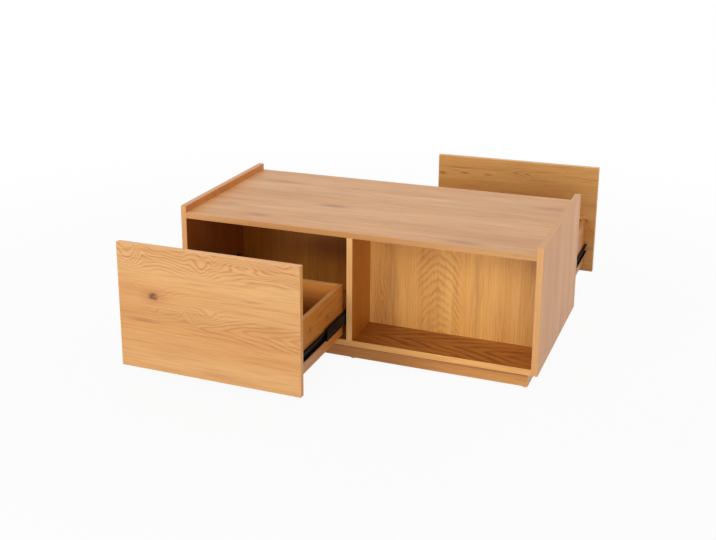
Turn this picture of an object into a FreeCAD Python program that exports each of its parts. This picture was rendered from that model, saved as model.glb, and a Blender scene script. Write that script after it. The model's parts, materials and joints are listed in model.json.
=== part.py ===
"""Low coffee table of faced board, with two drawers that open to opposite sides.

The carcass stands on a set-back plinth. Two gables rise past the top as lips, a divider splits the
table in two, and each half has a drawer on one side and a shallow open niche on the other. The rear
half is the front half turned half a turn about the middle of the table. The drawers hang on
three-section ball bearing slides and are modelled pulled out to their stops.

Frame: millimetres, +X to the right along the front, +Y from front to rear, +Z up, origin on the floor
under the middle of the table.
"""
import FreeCAD, Part
import Sketcher
import math
import os

doc = FreeCAD.newDocument("coffee_table")

# Driving dimensions, in millimetres
SIZES = [
    ("table_width", 1100, "over the outer faces of the gables"),
    ("gable_depth", 564, "front edge to rear edge of the carcass"),
    ("gable_height", 372, "lower edge to upper edge of a gable"),
    ("gable_lip", 21, "how far the gables rise past the top"),
    ("board", 18, "thickness of the carcass boards and drawer fronts"),
    ("edge_round", 1, "radius of the banded edges"),
    ("niche_depth", 156, "clear depth of an open niche"),
    ("plinth_height", 52, "floor to the lower edge of the gables"),
    ("plinth_setback", 31, "from the carcass faces back to the plinth"),
    ("corner_block", 30, "side of the square blocks inside the plinth"),
    ("block_short", 3, "how far a block stops short of the plinth's lower edge"),
    ("glide_radius", 8, "nail-on glide under the plinth"),
    ("glide_height", 3, "thickness of a glide"),
    ("cam_radius", 7.5, "cam lock"),
    ("cam_depth", 12.5, "depth of a cam lock in its board"),
    ("cam_inset", 34, "cam axis from the end of its board"),
    ("bolt_radius", 3.5, "smooth shank of a cam bolt"),
    ("bolt_reach", 3, "how far the bolt's end stops short of the cam's axis"),
    ("bolt_thread_radius", 2.5, "threaded end of a cam bolt"),
    ("bolt_thread_depth", 11, "threaded end in the gable"),
    ("dowel_radius", 4, "carcass dowel"),
    ("dowel_end_depth", 20, "dowel in the end of a board"),
    ("dowel_face_depth", 11, "dowel in the face of a board"),
    ("dowel_inset", 58, "outer dowels from the front and rear edges"),
    ("dowel_offset", 32, "dowel from its cam, or from the ends of a niche back"),
    ("fit_gap", 0.1, "all round a fastener in its bore"),
    ("front_past_middle", 4, "how far a drawer front runs past the middle of the table"),
    ("front_drop", 3, "drawer front below the upper edge of the gables"),
    ("closed_gap", 1, "drawer front to carcass when shut"),
    ("box_board", 12, "thickness of the drawer box sides"),
    ("box_height", 158, "height of the drawer box"),
    ("drawer_rear_room", 37, "drawer box to the niche back behind it when shut"),
    ("box_clearance", 13, "drawer box above the bottom panel"),
    ("tray", 5, "thickness of the drawer bottom"),
    ("tray_rise", 10, "drawer bottom above the lower edge of the box"),
    ("groove_depth", 6, "groove that holds the drawer bottom"),
    ("groove_play", 0.4, "room round the drawer bottom in its groove"),
    ("box_dowel_radius", 3, "dowel at a drawer corner"),
    ("box_dowel_end_depth", 16, "corner dowel in the end of a board"),
    ("box_dowel_side_depth", 8, "corner dowel in the drawer side"),
    ("box_dowel_inset", 36, "corner dowels from the upper and lower edges"),
    ("front_screw_inset_x", 70, "front screws from the ends of the inner front"),
    ("front_screw_inset_z", 40, "front screws from its upper and lower edges"),
    ("front_screw_radius", 2, "shank of a front screw"),
    ("front_screw_depth", 13, "front screw in the drawer front"),
    ("front_screw_head_radius", 4, "head of a front screw"),
    ("front_screw_head", 2.4, "height of that head"),
    ("slide_rise", 55, "middle of the slide above the lower edge of the box"),
    ("slide_setback", 2, "slide members behind the front edges and short of the box's back"),
    ("slide_height", 45, "cabinet member"),
    ("slide_thick", 12.7, "cabinet side to drawer side"),
    ("sheet", 1.2, "rolled steel of the slides"),
    ("sheet_bend", 0.9, "outer radius of the members' bends"),
    ("web_gap", 1, "between the webs of neighbouring members"),
    ("race_gap", 4, "between the races of neighbouring members"),
    ("race_lip", 1, "height of the lips that keep the balls in"),
    ("race_play", 0.07, "ball to lip"),
    ("ball_play", 0.15, "ball to race"),
    ("middle_short", 40, "how much shorter the middle member is than the other two"),
    ("middle_setback", 30, "middle member behind the cabinet member when shut"),
    ("cage_sheet", 0.5, "strip of a ball cage"),
    ("outer_cage_setback", 10, "outer cage behind the cabinet member's front end, drawer open"),
    ("outer_cage_rear", 15, "outer cage short of the middle member's rear end, drawer open"),
    ("inner_cage_setback", 10, "inner cage behind the middle member's front end, drawer open"),
    ("inner_cage_rear", 14, "inner cage short of the drawer member's rear end, drawer open"),
    ("slide_screw_radius", 1.75, "shank of a slide screw"),
    ("slide_screw_head_radius", 2.95, "countersunk head"),
    ("slide_screw_first", 37, "first screw from the member's front end"),
    ("slide_screw_last", 89, "last screw from the member's rear end"),
    ("carcass_screw_depth", 14, "slide screw in the carcass"),
    ("box_screw_depth", 9, "slide screw in the drawer side"),
    ("plinth_screw_radius", 2.25, "screw through a corner block"),
    ("plinth_screw_head_radius", 4, "its countersunk head"),
    ("plinth_screw_head", 2, "depth of that head"),
    ("plinth_screw_depth", 12, "plinth screw in the bottom panel"),
]

# Places and sizes that follow from the driving dimensions
PLACES = [
    ("half_width", "sizes.table_width / 2"),
    ("half_depth", "sizes.gable_depth / 2"),
    ("gable_top", "sizes.plinth_height + sizes.gable_height"),
    ("top_upper", "gable_top - sizes.gable_lip"),
    ("top_under", "top_upper - sizes.board"),
    ("floor_upper", "sizes.plinth_height + sizes.board"),
    ("top_middle", "top_under + sizes.board / 2"),
    ("floor_middle", "sizes.plinth_height + sizes.board / 2"),
    ("opening_height", "top_under - floor_upper"),
    ("inner_x", "half_width - sizes.board"),
    ("divider_x", "sizes.board / 2"),
    ("bay_width", "inner_x - divider_x"),
    ("niche_y", "half_depth - sizes.niche_depth"),
    ("niche_back_middle", "niche_y - sizes.board / 2"),
    ("cam_x", "inner_x - sizes.cam_inset"),
    ("dowel_y", "half_depth - sizes.dowel_inset"),
    ("cam_y", "dowel_y - sizes.dowel_offset"),
    ("back_dowel_near", "divider_x + sizes.dowel_offset"),
    ("back_dowel_far", "inner_x - sizes.dowel_offset"),
    ("plinth_x", "half_width - sizes.plinth_setback"),
    ("plinth_y", "half_depth - sizes.plinth_setback"),
    ("rail_height", "sizes.plinth_height - sizes.glide_height"),
    ("rail_inner_x", "plinth_x - sizes.board"),
    ("rail_inner_y", "plinth_y - sizes.board"),
    ("block_low", "sizes.glide_height + sizes.block_short"),
    ("block_height", "sizes.plinth_height - block_low"),
    ("block_x", "rail_inner_x - sizes.corner_block / 2"),
    ("block_y", "rail_inner_y - sizes.corner_block / 2"),
    ("front_height", "sizes.gable_height - sizes.front_drop"),
    ("front_width", "half_width + sizes.front_past_middle"),
    ("bay_depth", "sizes.gable_depth - sizes.niche_depth - sizes.board"),
    ("box_depth", "bay_depth + sizes.closed_gap - sizes.drawer_rear_room"),
    ("slide_length", "box_depth - 2 * sizes.slide_setback"),
    ("drawer_travel", "slide_length"),
    ("open_y", "half_depth + sizes.closed_gap + drawer_travel"),
    ("box_left", "inner_x - sizes.slide_thick"),
    ("box_right", "divider_x + sizes.slide_thick"),
    ("box_width", "box_left - box_right"),
    ("box_inner_width", "box_width - 2 * sizes.box_board"),
    ("box_inner_left", "box_left - sizes.box_board"),
    ("box_inner_right", "box_right + sizes.box_board"),
    ("box_low", "floor_upper + sizes.box_clearance"),
    ("box_back_y", "open_y - box_depth"),
    ("tray_low", "box_low + sizes.tray_rise"),
    ("tray_reach", "sizes.groove_depth - sizes.groove_play"),
    ("box_inner_depth", "box_depth - 2 * sizes.box_board"),
    ("front_screw_left", "box_inner_left - sizes.front_screw_inset_x"),
    ("front_screw_right", "box_inner_right + sizes.front_screw_inset_x"),
    ("front_screw_low", "box_low + sizes.front_screw_inset_z"),
    ("front_screw_high", "box_low + sizes.box_height - sizes.front_screw_inset_z"),
    ("box_dowel_low", "box_low + sizes.box_dowel_inset"),
    ("box_dowel_high", "box_low + sizes.box_height - sizes.box_dowel_inset"),
    ("slide_middle", "box_low + sizes.slide_rise"),
    ("slide_low", "slide_middle - sizes.slide_height / 2"),
    ("slide_high", "slide_middle + sizes.slide_height / 2"),
    ("outer_front_y", "half_depth - sizes.slide_setback"),
    ("inner_front_y", "open_y - sizes.slide_setback"),
    ("middle_length", "slide_length - sizes.middle_short"),
    ("middle_front_y", "outer_front_y - sizes.middle_setback + drawer_travel / 2"),
    ("middle_rear_y", "middle_front_y - middle_length"),
    ("inner_rear_y", "inner_front_y - slide_length"),
    ("outer_cage_y", "outer_front_y - sizes.outer_cage_setback"),
    ("outer_cage_length", "outer_cage_y - middle_rear_y - sizes.outer_cage_rear"),
    ("inner_cage_y", "middle_front_y - sizes.inner_cage_setback"),
    ("inner_cage_length", "inner_cage_y - inner_rear_y - sizes.inner_cage_rear"),
    ("ball_radius", "sizes.race_gap / 2 - sizes.ball_play"),
    ("ball_over_lip", "sizes.race_gap / 2 - sizes.race_lip"),
    ("race_half", "sqrt(ball_radius ^ 2 - ball_over_lip ^ 2) + sizes.race_play"),
    ("mid_web", "sizes.sheet + sizes.web_gap"),
    ("mid_in", "mid_web + sizes.sheet"),
    ("inner_tip", "mid_in + sizes.web_gap"),
    ("inner_lip", "inner_tip + sizes.sheet"),
    ("mid_lip", "inner_lip + 2 * race_half"),
    ("mid_tip", "mid_lip + sizes.sheet"),
    ("outer_lip", "mid_lip - sizes.sheet"),
    ("inner_web", "sizes.slide_thick - sizes.sheet"),
    ("inner_ball_u", "inner_lip + race_half"),
    ("outer_ball_u", "outer_lip - race_half"),
    ("outer_lip_low", "sizes.sheet + sizes.race_lip"),
    ("mid_low", "sizes.sheet + sizes.race_gap"),
    ("mid_lip_low", "mid_low - sizes.race_lip"),
    ("mid_floor", "mid_low + sizes.sheet"),
    ("mid_lip_high", "mid_floor + sizes.race_lip"),
    ("inner_low", "mid_floor + sizes.race_gap"),
    ("inner_lip_low", "inner_low - sizes.race_lip"),
    ("inner_floor", "inner_low + sizes.sheet"),
    ("outer_ball_v", "sizes.sheet + sizes.race_gap / 2"),
    ("inner_ball_v", "mid_floor + sizes.race_gap / 2"),
    ("outer_cage_u", "sizes.sheet + (sizes.web_gap - sizes.cage_sheet) / 2"),
    ("inner_cage_u", "mid_in + (sizes.web_gap - sizes.cage_sheet) / 2"),
    ("outer_cage_tip", "outer_ball_u + ball_radius + sizes.cage_sheet"),
    ("inner_cage_tip", "inner_ball_u + ball_radius + sizes.cage_sheet"),
    ("pocket_radius", "ball_radius + sizes.race_play"),
]


def fill_sheet(name, rows, formula):
    """A spreadsheet with one aliased cell for each row."""
    sheet = doc.addObject("Spreadsheet::Sheet", name)
    for number, row in enumerate(rows, start=1):
        alias, content = row[0], str(row[1])
        sheet.set(f"A{number}", alias)
        sheet.set(f"B{number}", "=" + content if formula else content)
        sheet.setAlias(f"B{number}", alias)
        if len(row) > 2:
            sheet.set(f"C{number}", row[2])
    doc.recompute()
    return sheet


sizes = fill_sheet("sizes", SIZES, formula=False)
places = fill_sheet("places", PLACES, formula=True)

SUBPARTS = []      # finished pieces, in the order in which they are made
CUTTERS = {}       # piece label: tools that cut that piece
GROUPS = {}        # group label: separate solids that share one node

# Turns that lay a cylinder's axis along a direction
TURN_Z_TO = {
    "+x": FreeCAD.Rotation(FreeCAD.Vector(0, 1, 0), 90),
    "-x": FreeCAD.Rotation(FreeCAD.Vector(0, 1, 0), -90),
    "+y": FreeCAD.Rotation(FreeCAD.Vector(1, 0, 0), -90),
    "-y": FreeCAD.Rotation(FreeCAD.Vector(1, 0, 0), 90),
    "+z": FreeCAD.Rotation(),
    "-z": FreeCAD.Rotation(FreeCAD.Vector(1, 0, 0), 180),
}
REVERSED = {"+x": "-x", "-x": "+x", "+y": "-y", "-y": "+y", "+z": "-z", "-z": "+z"}


def bind(thing, **expressions):
    for prop, expression in expressions.items():
        thing.setExpression(prop, expression)
    return thing


def stand(thing, spot, rotation=None):
    """Puts a piece at a spot given as three expressions."""
    if rotation is not None:
        thing.Placement = FreeCAD.Placement(FreeCAD.Vector(), rotation)
    for axis, expression in zip("xyz", spot):
        thing.setExpression(f"Placement.Base.{axis}", expression)
    return thing


def half_turn(spot):
    """The same spot on the other half of the table."""
    x, y, z = spot
    return (f"-({x})", f"-({y})", z)


def along(spot, direction, distance):
    """A spot moved along an axis by an expression."""
    index = "xyz".index(direction[1])
    moved = list(spot)
    moved[index] = f"{spot[index]} {direction[0]} ({distance})"
    return tuple(moved)


def block(name, size, low, turned=False):
    """A box from its low corner; a turned one stands on the other half of the table."""
    if turned:
        far = (f"{low[0]} + {size[0]}", f"{low[1]} + {size[1]}", low[2])
        low = half_turn(far)
    box = doc.addObject("Part::Box", name)
    bind(box, Length=size[0], Width=size[1], Height=size[2])
    return stand(box, low)


def rod(name, radius, length, spot, direction):
    """A cylinder from a spot along an axis."""
    cylinder = doc.addObject("Part::Cylinder", name)
    bind(cylinder, Radius=radius, Height=length)
    return stand(cylinder, spot, TURN_Z_TO[direction])


def taper(name, radius, end_radius, length, spot, direction):
    """A cone from a spot along an axis."""
    cone = doc.addObject("Part::Cone", name)
    bind(cone, Radius1=radius, Radius2=end_radius, Height=length)
    return stand(cone, spot, TURN_Z_TO[direction])


def joined(name, *pieces):
    fuse = doc.addObject("Part::MultiFuse", name)
    fuse.Shapes = list(pieces)
    fuse.Refine = True
    return fuse


def cut_from(label, tool):
    CUTTERS.setdefault(label, []).append(tool)


def into_group(label, piece):
    GROUPS.setdefault(label, []).append(piece)


def finish_piece(label, solid):
    """Cuts the tools of this piece out of its blank and keeps the result under its own name."""
    tools = CUTTERS.pop(label, [])
    if tools:
        bundle = doc.addObject("Part::Compound", label + "_tools")
        bundle.Links = tools
        cut = doc.addObject("Part::Cut", label + "_cut")
        cut.Base = solid
        cut.Tool = bundle
        solid = cut
    solid.Label = label
    SUBPARTS.append(solid)


def finish_group(label):
    bundle = doc.addObject("Part::Compound", label + "_set")
    bundle.Links = GROUPS.pop(label)
    bundle.Label = label
    SUBPARTS.append(bundle)


def board(label, size, low, turned=False, rounded=""):
    """A flat board whose edges along the named axes are rounded, with its bores and grooves."""
    blank = block(label + "_blank", size, low, turned)
    if rounded:
        doc.recompute()
        radius = sizes.get("edge_round")
        chosen = []
        for index, edge in enumerate(blank.Shape.Edges, start=1):
            run = edge.tangentAt(edge.FirstParameter)
            lengths = {"x": abs(run.x), "y": abs(run.y), "z": abs(run.z)}
            if max(lengths, key=lengths.get) in rounded:
                chosen.append((index, radius, radius))
        soft = doc.addObject("Part::Fillet", label + "_rounded")
        soft.Base = blank
        soft.Edges = chosen
        blank = soft
    finish_piece(label, blank)


# Fasteners: each makes its own bores in the pieces that it joins

def dowel(group, spot, direction, first, second, radius, first_depth, second_depth):
    """A dowel across the joint at a spot: its direction points into the first piece."""
    start = along(spot, REVERSED[direction], second_depth)
    length = f"({first_depth} + {second_depth})"
    name = f"{group}_{len(GROUPS.get(group, []))}"
    into_group(group, rod(name, radius, length, start, direction))
    bore_start = along(start, REVERSED[direction], "sizes.fit_gap")
    bore_length = f"{length} + 2 * sizes.fit_gap"
    bore = rod(name + "_bore", f"{radius} + sizes.fit_gap", bore_length, bore_start, direction)
    cut_from(first, bore)
    cut_from(second, bore)


def headed_screw(group, spot, direction, held, holder, shank, held_depth, depth, head, head_height, sunk):
    """A screw whose head sits on a face at a spot, through the held piece and into the holder.

    A sunk head tapers into the held piece from the face; any other head stands on the face.
    """
    name = f"{group}_{len(GROUPS.get(group, []))}"
    length = f"({held_depth} + {depth})"
    shank_rod = rod(name + "_shank", shank, length, spot, direction)
    if sunk:
        cap = taper(name + "_head", head, shank, head_height, spot, direction)
        sink = taper(name + "_sink", f"{head} + sizes.fit_gap", f"{shank} + sizes.fit_gap",
                     head_height, spot, direction)
        cut_from(held, sink)
    else:
        cap = rod(name + "_head", head, head_height, spot, REVERSED[direction])
    into_group(group, joined(name, shank_rod, cap))
    bore = rod(name + "_bore", f"{shank} + sizes.fit_gap", f"{length} + sizes.fit_gap", spot, direction)
    cut_from(held, bore)
    cut_from(holder, bore)


def cam_joint(panel, gable, outward, spot_y, under, middle):
    """A cam lock in the underside of a panel, and the bolt that it draws from the gable."""
    side = "-" if outward == "-x" else ""
    name = f"cam_{len(GROUPS.get('cam_locks', []))}"
    cam_spot = (f"{side}places.cam_x", spot_y, under)
    disc = rod(name + "_disc", "sizes.cam_radius", "sizes.cam_depth", cam_spot, "+z")
    pocket = rod(name + "_pocket", "sizes.cam_radius + sizes.fit_gap",
                 "sizes.cam_depth + sizes.fit_gap", cam_spot, "+z")
    slot_width = "2 * (sizes.bolt_radius + sizes.fit_gap)"
    slot_low_x = "-places.cam_x - sizes.cam_radius" if side else "places.cam_x - sizes.bolt_reach"
    slot_low = (slot_low_x, f"{spot_y} - sizes.bolt_radius - sizes.fit_gap",
                f"{middle} - sizes.bolt_radius - sizes.fit_gap")
    slot = block(name + "_slot", ("sizes.cam_radius + sizes.bolt_reach", slot_width, slot_width), slot_low)
    cam = doc.addObject("Part::Cut", name)
    cam.Base = disc
    cam.Tool = slot
    into_group("cam_locks", cam)
    cut_from(panel, pocket)

    face = (f"{side}places.inner_x", spot_y, middle)
    inward = REVERSED[outward]
    shank_length = "sizes.cam_inset - sizes.bolt_reach"
    shank = rod(name + "_shank", "sizes.bolt_radius", shank_length, face, inward)
    thread = rod(name + "_thread", "sizes.bolt_thread_radius", "sizes.bolt_thread_depth", face, outward)
    into_group("cam_bolts", joined(name + "_bolt", shank, thread))
    cut_from(panel, rod(name + "_shank_bore", "sizes.bolt_radius + sizes.fit_gap",
                        shank_length, face, inward))
    cut_from(gable, rod(name + "_thread_bore", "sizes.bolt_thread_radius + sizes.fit_gap",
                        "sizes.bolt_thread_depth + sizes.fit_gap", face, outward))


def carcass_fasteners():
    for panel, under, middle in (("top_panel", "places.top_under", "places.top_middle"),
                                 ("bottom_panel", "sizes.plinth_height", "places.floor_middle")):
        for gable, outward, side in (("left_gable", "-x", "-"), ("right_gable", "+x", "")):
            for end in ("-", ""):
                cam_joint(panel, gable, outward, f"{end}places.cam_y", under, middle)
                dowel("carcass_dowels", (f"{side}places.inner_x", f"{end}places.dowel_y", middle), outward,
                      gable, panel, "sizes.dowel_radius", "sizes.dowel_face_depth", "sizes.dowel_end_depth")
    standing = [("centre_divider", "0", f"{end}places.cam_y") for end in ("-", "")]
    for x in ("places.back_dowel_near", "places.back_dowel_far"):
        standing.append(("front_niche_back", x, "-places.niche_back_middle"))
        standing.append(("rear_niche_back", f"-{x}", "places.niche_back_middle"))
    for upright, x, y in standing:
        for panel, level, direction in (("top_panel", "places.top_under", "+z"),
                                        ("bottom_panel", "places.floor_upper", "-z")):
            dowel("carcass_dowels", (x, y, level), direction, panel, upright, "sizes.dowel_radius",
                  "sizes.dowel_face_depth", "sizes.dowel_end_depth")


def plinth():
    rail = "sizes.board"
    long_rail = ("2 * places.plinth_x", rail, "places.rail_height")
    cross_rail = (rail, "2 * places.rail_inner_y", "places.rail_height")
    floor = "sizes.glide_height"
    board("plinth_front_rail", long_rail, ("-places.plinth_x", "-places.plinth_y", floor))
    board("plinth_rear_rail", long_rail, ("-places.plinth_x", "-places.plinth_y", floor), turned=True)
    board("plinth_left_rail", cross_rail, ("-places.plinth_x", "-places.rail_inner_y", floor))
    board("plinth_right_rail", cross_rail, ("-places.plinth_x", "-places.rail_inner_y", floor), turned=True)
    board("plinth_middle_rail", cross_rail, ("-sizes.board / 2", "-places.rail_inner_y", floor))

    corner = ("sizes.corner_block", "sizes.corner_block", "places.block_height")
    for side in ("-", ""):
        for end in ("-", ""):
            name = f"corner_block_{len(GROUPS.get('corner_blanks', []))}"
            low = (f"{side}places.block_x - sizes.corner_block / 2",
                   f"{end}places.block_y - sizes.corner_block / 2", "places.block_low")
            into_group("corner_blanks", block(name, corner, low))
            spot = (f"{side}places.block_x", f"{end}places.block_y", "places.block_low")
            headed_screw("plinth_screws", spot, "+z", "plinth_corner_blocks", "bottom_panel",
                         "sizes.plinth_screw_radius", "places.block_height", "sizes.plinth_screw_depth",
                         "sizes.plinth_screw_head_radius", "sizes.plinth_screw_head", sunk=True)
    blanks = doc.addObject("Part::Compound", "corner_blanks")
    blanks.Links = GROUPS.pop("corner_blanks")
    finish_piece("plinth_corner_blocks", blanks)
    finish_group("plinth_screws")

    for end in ("-", ""):
        y = f"{end}(places.plinth_y - sizes.board / 2)"
        for x in ("-(places.plinth_x - sizes.board / 2)", "0", "places.plinth_x - sizes.board / 2"):
            name = f"glide_{len(GROUPS.get('floor_glides', []))}"
            glide = rod(name, "sizes.glide_radius", "sizes.glide_height", (x, y, "0"), "+z")
            into_group("floor_glides", glide)
    finish_group("floor_glides")


def carcass():
    gable = ("sizes.board", "sizes.gable_depth", "sizes.gable_height")
    gable_low = ("-places.half_width", "-places.half_depth", "sizes.plinth_height")
    board("left_gable", gable, gable_low, rounded="xyz")
    board("right_gable", gable, gable_low, turned=True, rounded="xyz")
    panel = ("2 * places.inner_x", "sizes.gable_depth", "sizes.board")
    for label, under in (("top_panel", "places.top_under"), ("bottom_panel", "sizes.plinth_height")):
        board(label, panel, ("-places.inner_x", "-places.half_depth", under), rounded="x")
    board("centre_divider", ("sizes.board", "sizes.gable_depth", "places.opening_height"),
          ("-places.divider_x", "-places.half_depth", "places.floor_upper"), rounded="z")
    back = ("places.bay_width", "sizes.board", "places.opening_height")
    back_low = ("places.divider_x", "-places.niche_y", "places.floor_upper")
    board("front_niche_back", back, back_low)
    board("rear_niche_back", back, back_low, turned=True)
    for group in ("cam_locks", "cam_bolts", "carcass_dowels"):
        finish_group(group)


# Slides: rolled steel profiles, each drawn as a section with u from the cabinet wall towards the drawer
# and v up from the lower edge of the slide. A section gives its lower half, and the upper half mirrors it.

OUTER_SECTION = [
    ("0", "0"),
    ("places.mid_lip", "0"),
    ("places.mid_lip", "places.outer_lip_low"),
    ("places.outer_lip", "places.outer_lip_low"),
    ("places.outer_lip", "sizes.sheet"),
    ("sizes.sheet", "sizes.sheet"),
]
MIDDLE_SECTION = [
    ("places.mid_web", "places.mid_low"),
    ("places.mid_lip", "places.mid_low"),
    ("places.mid_lip", "places.mid_lip_low"),
    ("places.mid_tip", "places.mid_lip_low"),
    ("places.mid_tip", "places.mid_lip_high"),
    ("places.mid_lip", "places.mid_lip_high"),
    ("places.mid_lip", "places.mid_floor"),
    ("places.mid_in", "places.mid_floor"),
]
INNER_SECTION = [
    ("sizes.slide_thick", "places.inner_low"),
    ("places.inner_lip", "places.inner_low"),
    ("places.inner_lip", "places.inner_lip_low"),
    ("places.inner_tip", "places.inner_lip_low"),
    ("places.inner_tip", "places.inner_floor"),
    ("places.inner_web", "places.inner_floor"),
]

SLIDE_TURN = {
    ("left", False): FreeCAD.Rotation(),
    ("right", False): FreeCAD.Rotation(FreeCAD.Vector(0, 1, 0), 180),
    ("left", True): FreeCAD.Rotation(FreeCAD.Vector(0, 0, 1), 180),
    ("right", True): FreeCAD.Rotation(FreeCAD.Vector(1, 0, 0), 180),
}

# Places of the balls along their cage, as shares of its length
BALL_SHARES = (0.25, 0.5, 0.75)


def cage_section(web, tip, row):
    """A ball cage: a strip behind the balls, and a flange through each row of them."""
    inside = f"places.{web} + sizes.cage_sheet"
    under = f"places.{row} - sizes.cage_sheet / 2"
    over = f"places.{row} + sizes.cage_sheet / 2"
    return [(f"places.{web}", under), (f"places.{tip}", under), (f"places.{tip}", over), (inside, over)]


def outline(sketch, points):
    """A closed outline whose corners are dimensioned from the sketch's origin."""
    count = len(points)
    for corner in range(count):
        here = FreeCAD.Vector(math.cos(math.tau * corner / count), math.sin(math.tau * corner / count), 0)
        after = corner + 1
        there = FreeCAD.Vector(math.cos(math.tau * after / count), math.sin(math.tau * after / count), 0)
        sketch.addGeometry(Part.LineSegment(here, there), False)
    for corner in range(count):
        sketch.addConstraint(Sketcher.Constraint("Coincident", corner, 2, (corner + 1) % count, 1))
    for corner, (u, v) in enumerate(points):
        for kind, letter, expression in (("DistanceX", "u", u), ("DistanceY", "v", v)):
            number = sketch.addConstraint(Sketcher.Constraint(kind, -1, 1, corner, 1, 0.0))
            sketch.renameConstraint(number, f"corner_{corner}_{letter}")
            sketch.setExpression(f"Constraints.corner_{corner}_{letter}", expression)


def rolled_strip(name, section, length, bent):
    """A steel strip rolled to a section along +Y; a bent one has its web's outer corners rounded."""
    upper = [(u, f"sizes.slide_height - ({v})") for u, v in reversed(section)]
    body = doc.addObject("PartDesign::Body", name + "_body")
    sketch = body.newObject("Sketcher::SketchObject", name + "_section")
    plane = next(feature for feature in body.Origin.OriginFeatures if feature.Role == "XZ_Plane")
    sketch.AttachmentSupport = (plane, "")
    sketch.MapMode = "FlatFace"
    outline(sketch, section + upper)
    pad = body.newObject("PartDesign::Pad", name + "_pad")
    pad.Profile = sketch
    pad.Reversed = True
    pad.setExpression("Length", length)
    doc.recompute()
    if bent:
        corners = [sketch.Geometry[0].StartPoint, sketch.Geometry[len(section) + len(upper) - 1].StartPoint]
        edges = []
        for index, edge in enumerate(pad.Shape.Edges, start=1):
            centre = edge.CenterOfMass
            beside = [math.hypot(centre.x - corner.x, centre.z - corner.y) for corner in corners]
            if min(beside) < Part.Precision.confusion():
                edges.append(f"Edge{index}")
        bend = body.newObject("PartDesign::Fillet", name + "_bend")
        bend.Base = (pad, edges)
        bend.setExpression("Radius", "sizes.sheet_bend")
    return body


def on_slide(hand, turned, u, y, v):
    """The spot on a slide that lies u from its cabinet wall, y in front and v above its lower edge."""
    if hand == "left":
        spot = (f"-places.inner_x + {u}", f"-({y})", f"places.slide_low + {v}")
    else:
        spot = (f"-places.divider_x - ({u})", f"-({y})", f"places.slide_high - ({v})")
    return half_turn(spot) if turned else spot


def towards_drawer(hand, turned):
    return "+x" if (hand == "left") != turned else "-x"


def member(label, hand, turned, section, length, front_y, bent=True):
    """One strip of a slide, standing at its own place with its screw holes or ball pockets."""
    strip = rolled_strip(label, section, length, bent)
    stand(strip, on_slide(hand, turned, "0", front_y, "0"), SLIDE_TURN[hand, turned])
    return strip


def slide_screws(group, label, holder, hand, turned, front_y, face_u, inward, depth):
    """The two screws that hold a member to its wall."""
    direction = towards_drawer(hand, turned)
    if not inward:
        direction = REVERSED[direction]
    for reach in ("sizes.slide_screw_first", "places.slide_length - sizes.slide_screw_last"):
        spot = on_slide(hand, turned, face_u, f"{front_y} - ({reach})", "sizes.slide_height / 2")
        headed_screw(group, spot, direction, label, holder, "sizes.slide_screw_radius", "sizes.sheet", depth,
                     "sizes.slide_screw_head_radius", "sizes.sheet", sunk=True)


def ball_cage(drawer, kind, hand, turned):
    """A cage and its balls, in one of the two gaps of a slide."""
    ball_u, ball_v = f"places.{kind}_ball_u", f"places.{kind}_ball_v"
    front_y, length = f"places.{kind}_cage_y", f"places.{kind}_cage_length"
    section = cage_section(f"{kind}_cage_u", f"{kind}_cage_tip", f"{kind}_ball_v")
    label = f"{drawer}_{hand}_{kind}_cage"
    strip = member(label, hand, turned, section, length, front_y, bent=False)
    pockets = []
    for number, share in enumerate(BALL_SHARES, start=1):
        y = f"{front_y} - {length} * {share}"
        foot = on_slide(hand, turned, ball_u, y, "0")
        up = "+z" if hand == "left" else "-z"
        pocket = rod(f"{label}_pocket_{number}", "places.pocket_radius", "sizes.slide_height", foot, up)
        pockets.append(pocket)
        for row, v in (("low", ball_v), ("high", f"sizes.slide_height - {ball_v}")):
            ball = doc.addObject("Part::Sphere", f"{label}_ball_{row}_{number}")
            bind(ball, Radius="places.ball_radius")
            into_group(f"{drawer}_{kind}_balls", stand(ball, on_slide(hand, turned, ball_u, y, v)))
    bundle = doc.addObject("Part::Compound", label + "_pockets")
    bundle.Links = pockets
    cage = doc.addObject("Part::Cut", label)
    cage.Base = strip
    cage.Tool = bundle
    into_group(f"{drawer}_{kind}_ball_cages", cage)


def slides(drawer, turned):
    """The left and right slide of a drawer, as seen from that drawer's own front."""
    for hand in ("left", "right"):
        if hand == "right":
            wall = "centre_divider"
        else:
            wall = "right_gable" if turned else "left_gable"
        outer = f"{drawer}_{hand}_slide_outer"
        middle = f"{drawer}_{hand}_slide_middle"
        inner = f"{drawer}_{hand}_slide_inner"
        slide_screws("outer_slide_screws", outer, wall, hand, turned, "places.outer_front_y", "sizes.sheet",
                     False, "sizes.carcass_screw_depth")
        slide_screws(f"{drawer}_slide_screws", inner, f"{drawer}_{hand}_side", hand, turned,
                     "places.inner_front_y", "places.inner_web", True, "sizes.box_screw_depth")
        for label, section, length, front_y in (
                (outer, OUTER_SECTION, "places.slide_length", "places.outer_front_y"),
                (middle, MIDDLE_SECTION, "places.middle_length", "places.middle_front_y"),
                (inner, INNER_SECTION, "places.slide_length", "places.inner_front_y")):
            finish_piece(label, member(label, hand, turned, section, length, front_y))
        for kind in ("outer", "inner"):
            ball_cage(drawer, kind, hand, turned)
    finish_group(f"{drawer}_slide_screws")
    for kind in ("outer", "inner"):
        finish_group(f"{drawer}_{kind}_ball_cages")
        finish_group(f"{drawer}_{kind}_balls")


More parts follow.
